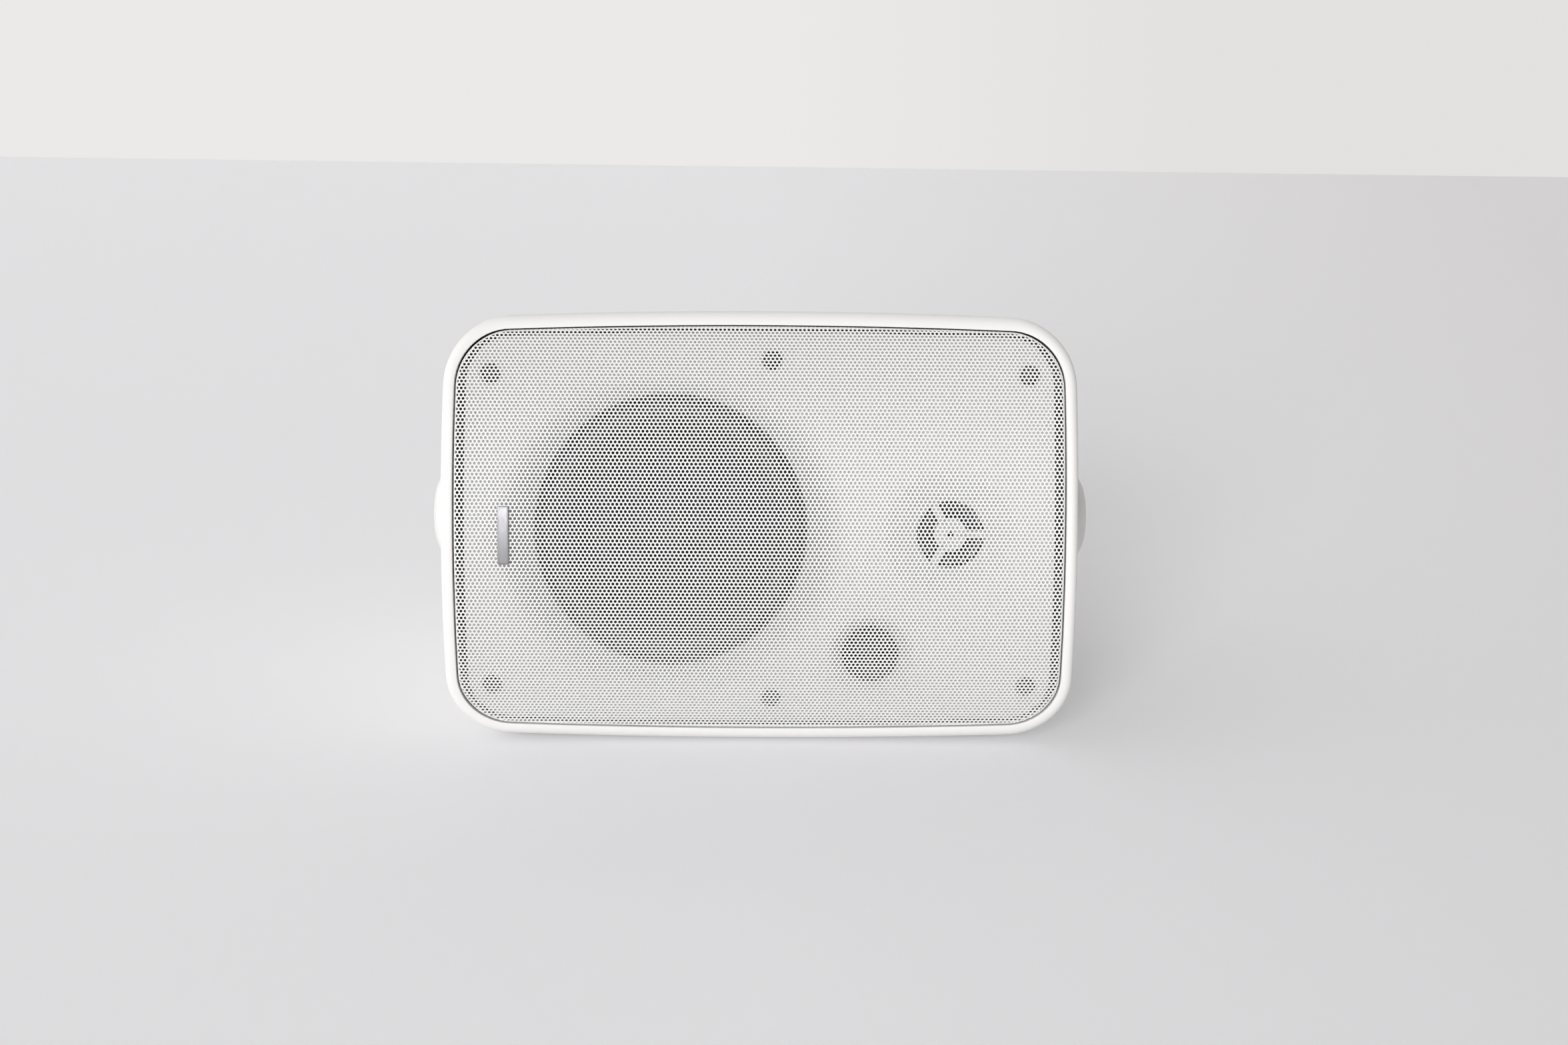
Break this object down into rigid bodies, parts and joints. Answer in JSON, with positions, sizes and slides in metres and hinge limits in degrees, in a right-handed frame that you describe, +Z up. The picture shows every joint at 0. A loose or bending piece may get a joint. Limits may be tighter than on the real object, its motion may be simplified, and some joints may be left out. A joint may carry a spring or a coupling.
{
  "type": "loudspeaker",
  "caption": "White moulded loudspeaker with a curved perforated grille, lying on its long side, with a swinging wall bracket and side hand knobs.",
  "frame": {"origin": "under the centre of the bounding box, on the surface it lies on", "axes": "+X to the right along the long side, front towards -Y and leaning back, +Z up"},
  "size_m": [0.365, 0.2414, 0.2289],
  "materials": {
    "cabinet_shell": "warm white moulded plastic, fine satin",
    "front_baffle": "white moulded plastic",
    "baffle_seal": "foam strip",
    "baffle_screws": "black zinc",
    "grille": "white powder-coated perforated steel",
    "badge_plate": "brushed plate, blank",
    "port_tube": "white moulded plastic",
    "woofer_gasket": "foam",
    "woofer_basket": "black painted pressed steel",
    "woofer_surround": "butyl rubber",
    "woofer_cone": "dark paper",
    "woofer_dust_cap": "dark paper",
    "woofer_spider": "resin-dipped cloth",
    "voice_coil_former": "thin sheet",
    "voice_coil_winding": "enamelled copper wire",
    "woofer_top_plate": "zinc plated",
    "woofer_magnet": "ferrite",
    "woofer_yoke": "zinc plated",
    "woofer_screws": "black zinc",
    "tweeter_frame": "black moulded plastic",
    "tweeter_dome": "coated silk",
    "tweeter_voice_coil": "enamelled copper wire",
    "tweeter_top_plate": "zinc plated",
    "tweeter_magnet": "ferrite",
    "tweeter_yoke": "zinc plated",
    "tweeter_screws": "black zinc",
    "crossover_board": "green glass-fibre board",
    "crossover_coil": "enamelled copper wire",
    "crossover_coil_bobbin": "black moulded plastic",
    "crossover_capacitor": "yellow film capacitors",
    "crossover_resistor": "white ceramic",
    "board_screws": "zinc plated",
    "terminal_cup": "black moulded plastic",
    "red_lever": "red moulded plastic",
    "black_lever": "black moulded plastic",
    "terminal_contacts": "nickel plated",
    "cup_screws": "black zinc",
    "wall_bracket": "white powder-coated steel strap",
    "brass_inserts": "turned brass",
    "friction_washers": "rubber",
    "knob": "white moulded plastic",
    "stud_steel": "zinc plated"
  },
  "bodies": {
    "cabinet": {"cabinet_shell": "cabinet_shell", "front_baffle": "front_baffle", "baffle_seal": "baffle_seal", "baffle_screws": "baffle_screws", "grille": "grille", "badge_plate": "badge_plate", "port_tube": "port_tube", "woofer_gasket": "woofer_gasket", "woofer_basket": "woofer_basket", "woofer_surround": "woofer_surround", "woofer_spider": "woofer_spider", "woofer_top_plate": "woofer_top_plate", "woofer_magnet": "woofer_magnet", "woofer_yoke": "woofer_yoke", "woofer_screws": "woofer_screws", "tweeter_frame": "tweeter_frame", "tweeter_top_plate": "tweeter_top_plate", "tweeter_magnet": "tweeter_magnet", "tweeter_yoke": "tweeter_yoke", "tweeter_screws": "tweeter_screws", "crossover_board": "crossover_board", "crossover_coil": "crossover_coil", "crossover_coil_bobbin": "crossover_coil_bobbin", "crossover_capacitor": "crossover_capacitor", "crossover_resistor": "crossover_resistor", "board_screws": "board_screws", "terminal_cup": "terminal_cup", "terminal_contacts": "terminal_contacts", "cup_screws": "cup_screws", "brass_inserts": "brass_inserts", "friction_washers": "friction_washers"},
    "bracket": {"wall_bracket": "wall_bracket"},
    "woofer_moving": {"woofer_cone": "woofer_cone", "woofer_dust_cap": "woofer_dust_cap", "voice_coil_former": "voice_coil_former", "voice_coil_winding": "voice_coil_winding"},
    "tweeter_moving": {"tweeter_dome": "tweeter_dome", "tweeter_voice_coil": "tweeter_voice_coil"},
    "left_hand_knob": {"left_knob": "knob", "left_knob_stud": "stud_steel", "left_washer": "stud_steel"},
    "right_hand_knob": {"right_knob": "knob", "right_knob_stud": "stud_steel", "right_washer": "stud_steel"},
    "red_terminal": {"red_lever": "red_lever"},
    "black_terminal": {"black_lever": "black_lever"}
  },
  "joints": [
    {"name": "bracket_swing", "type": "hinge", "parent": "cabinet", "child": "bracket", "pos_m": [0, -0.02026, 0.10335], "axis": [1, 0, 0], "range_deg": [-75, 75]},
    {"name": "left_knob_turn", "type": "hinge", "parent": "cabinet", "child": "left_hand_knob", "pos_m": [-0.17, -0.02026, 0.10335], "axis": [-1, 0, 0], "range_deg": [0, 360]},
    {"name": "right_knob_turn", "type": "hinge", "parent": "cabinet", "child": "right_hand_knob", "pos_m": [0.17, -0.02026, 0.10335], "axis": [1, 0, 0], "range_deg": [0, 360]},
    {"name": "woofer_stroke", "type": "slide", "parent": "cabinet", "child": "woofer_moving", "axis": [0, -0.9763, 0.2164], "range_m": [-0.004, 0.004], "stiffness_N_per_m": 1200, "deforming": ["woofer_surround", "woofer_spider"]},
    {"name": "tweeter_stroke", "type": "slide", "parent": "cabinet", "child": "tweeter_moving", "axis": [0, -0.9763, 0.2164], "range_m": [-0.0003, 0.0003], "stiffness_N_per_m": 2000},
    {"name": "red_lever_press", "type": "hinge", "parent": "cabinet", "child": "red_terminal", "pos_m": [-0.0115, 0.06879, 0.09385], "axis": [-1, 0, 0], "range_deg": [0, 20], "stiffness_Nm_per_rad": 0.08},
    {"name": "black_lever_press", "type": "hinge", "parent": "cabinet", "child": "black_terminal", "pos_m": [0.0115, 0.06879, 0.09385], "axis": [-1, 0, 0], "range_deg": [0, 20], "stiffness_Nm_per_rad": 0.08}
  ]
}
